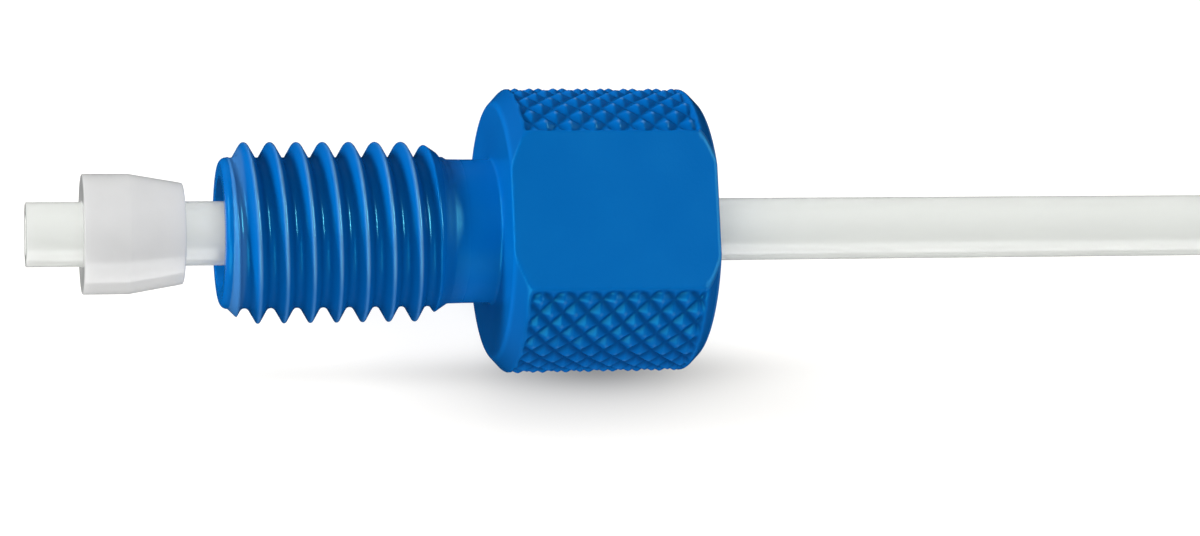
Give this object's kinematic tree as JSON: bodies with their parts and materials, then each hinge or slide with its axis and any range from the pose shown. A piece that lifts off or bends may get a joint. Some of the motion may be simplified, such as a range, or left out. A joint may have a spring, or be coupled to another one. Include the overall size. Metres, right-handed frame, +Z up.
{
  "type": "finger-tight tube fitting",
  "caption": "One-piece knurled male nut with two wrench flats and a 1/4-28 thread, a loose reversed-cone ferrule and the plastic capillary tube that both slide on.",
  "frame": {"origin": "centre of the wrench flat that the fitting lies on", "axes": "+Z up, out of the opposite wrench flat; +X along the fitting's axis, from the thread end towards the knurled head and the tube's free end"},
  "size_m": [0.06, 0.01, 0.0084],
  "materials": {
    "nut": "satin",
    "ferrule": "satin",
    "tube": "gloss"
  },
  "bodies": {
    "nut": {"nut": "nut"},
    "tube": {"tube": "tube"},
    "ferrule": {"ferrule": "ferrule"}
  },
  "joints": [
    {"name": "tube_spin", "type": "hinge", "parent": "nut", "child": "tube", "pos_m": [-0.01304, 0, 0.0042], "axis": [1, 0, 0], "continuous": true},
    {"name": "ferrule_slide", "type": "slide", "parent": "tube", "child": "ferrule", "axis": [1, 0, 0], "range_m": [-0.00188, 0.00245]}
  ]
}
